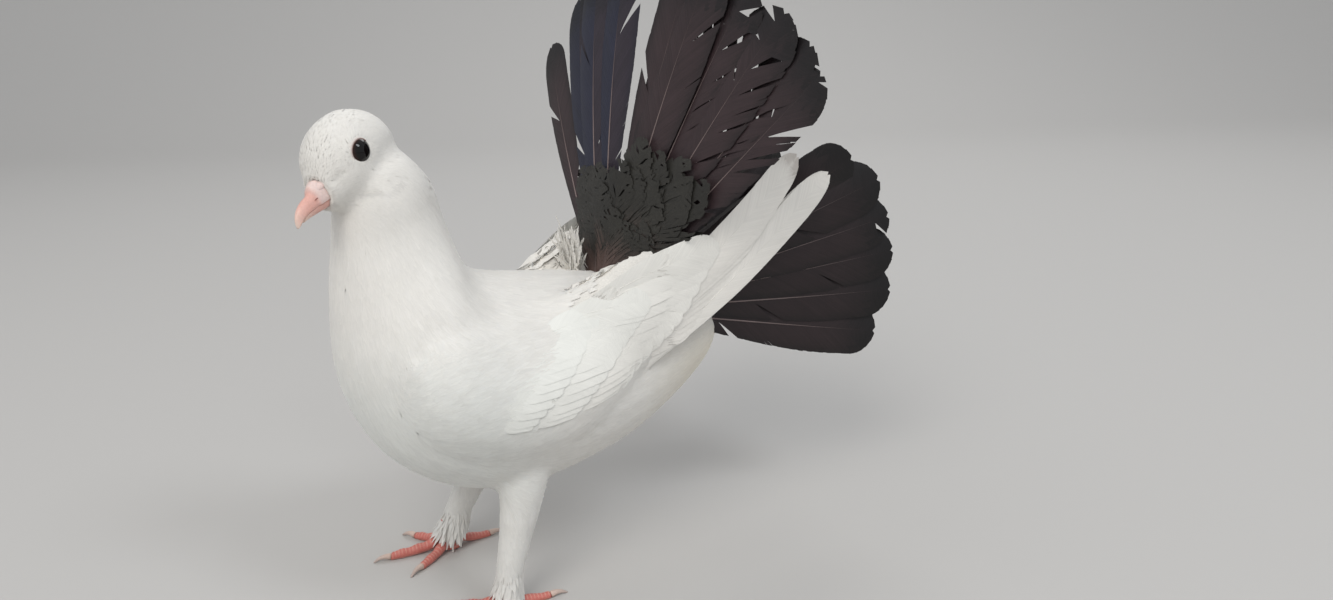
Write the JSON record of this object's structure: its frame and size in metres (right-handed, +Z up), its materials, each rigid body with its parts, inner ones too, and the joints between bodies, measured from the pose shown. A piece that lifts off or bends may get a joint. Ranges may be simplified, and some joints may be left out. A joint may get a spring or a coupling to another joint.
{
  "type": "fantail pigeon",
  "caption": "Life-size standing fantail pigeon: white body and folded wings, raised black fan tail in two halves, feathered legs, head turned to its left.",
  "frame": {"origin": "on the floor under the middle of the whole bird's bounding box", "axes": "-Y the way the body faces, +X the bird's left, +Z up; the head is turned to +X"},
  "size_m": [0.1702, 0.2472, 0.2425],
  "materials": {
    "white_coat": "matte",
    "white_feather": "matte",
    "black_feather": "satin",
    "bill_horn": "satin",
    "red_skin": "satin",
    "claw_horn": "satin",
    "eye": "gloss"
  },
  "bodies": {
    "root": {"bill_lower": "bill_horn", "bill_upper": "bill_horn", "claw_left_hind": "claw_horn", "claw_left_inner": "claw_horn", "claw_left_middle": "claw_horn", "claw_left_outer": "claw_horn", "claw_right_hind": "claw_horn", "claw_right_inner": "claw_horn", "claw_right_middle": "claw_horn", "claw_right_outer": "claw_horn", "eye_left": "eye", "eye_right": "eye", "foot_left": "red_skin", "foot_right": "red_skin", "head": "white_coat", "leg_left": "white_coat", "leg_right": "white_coat", "neck": "white_coat", "tail_left": "black_feather", "tail_right": "black_feather", "torso": "white_coat", "wing_left": "white_feather", "wing_right": "white_feather"}
  },
  "joints": []
}
